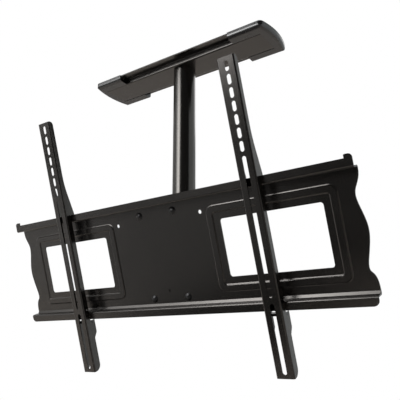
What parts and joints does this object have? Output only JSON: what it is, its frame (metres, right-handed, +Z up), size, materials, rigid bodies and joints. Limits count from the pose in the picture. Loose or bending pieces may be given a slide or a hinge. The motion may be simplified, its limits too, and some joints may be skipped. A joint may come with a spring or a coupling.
{
  "type": "tv ceiling mount",
  "caption": "Ceiling mount for a flat screen: capped ceiling channel, swivelling down pipe, tilting windowed adapter plate and sliding slotted rails with screw locks.",
  "frame": {"origin": "on the ceiling, on the down pipe's axis, at the centre of the four lag slots", "axes": "+X to the right seen from the front along the channel, -Y to the front where the screen looks, +Z up into the ceiling"},
  "size_m": [0.784, 0.2498, 0.6553],
  "materials": {
    "channel_paint": "satin black powder coat",
    "pipe_paint": "satin black powder coat",
    "bracket_paint": "satin black powder coat",
    "plate_paint": "satin black powder coat",
    "rail_paint": "satin black powder coat",
    "cap_plastic": "fine satin black",
    "slip_plastic": "dark grey slip plastic",
    "black_fastener": "black oxide steel",
    "zinc_steel": "plain zinc"
  },
  "bodies": {
    "ceiling": {"ceiling_channel": "channel_paint", "left_end_cap": "cap_plastic", "right_end_cap": "cap_plastic", "bearing_plate": "zinc_steel", "thrust_washer": "slip_plastic"},
    "pipe": {"pipe_ring": "pipe_paint", "down_pipe": "pipe_paint", "pivot_tube": "pipe_paint", "lock_tube": "pipe_paint", "tilt_lock_bolt": "black_fastener", "tilt_lock_nut": "black_fastener", "tilt_lock_washers": "black_fastener"},
    "plate": {"adapter_plate": "plate_paint", "tilt_bracket": "bracket_paint", "plate_bolts": "black_fastener", "plate_nuts": "black_fastener", "pivot_bolt": "black_fastener", "pivot_nut": "black_fastener", "pivot_washers": "black_fastener", "friction_discs": "slip_plastic"},
    "left_slider": {"left_rail": "rail_paint", "left_lock_bar": "black_fastener"},
    "right_slider": {"right_rail": "rail_paint", "right_lock_bar": "black_fastener"},
    "left_lock": {"left_lock_screw": "black_fastener"},
    "right_lock": {"right_lock_screw": "black_fastener"}
  },
  "joints": [
    {"name": "swivel", "type": "hinge", "parent": "ceiling", "child": "pipe", "pos_m": [0, 0, 0], "axis": [0, 0, 1], "range_deg": [-180, 180]},
    {"name": "tilt", "type": "hinge", "parent": "pipe", "child": "plate", "pos_m": [0, 0, -0.4156], "axis": [1, 0, 0], "range_deg": [-18.8, 0]},
    {"name": "left_rail_slide", "type": "slide", "parent": "plate", "child": "left_slider", "axis": [1, 0, 0], "range_m": [-0.137, 0.206]},
    {"name": "right_rail_slide", "type": "slide", "parent": "plate", "child": "right_slider", "axis": [1, 0, 0], "range_m": [-0.206, 0.137]},
    {"name": "left_lock_slide", "type": "slide", "parent": "left_slider", "child": "left_lock", "axis": [0, -0.3223, 0.9466], "range_m": [-0.01, 0]},
    {"name": "right_lock_slide", "type": "slide", "parent": "right_slider", "child": "right_lock", "axis": [0, -0.3223, 0.9466], "range_m": [-0.01, 0]}
  ]
}
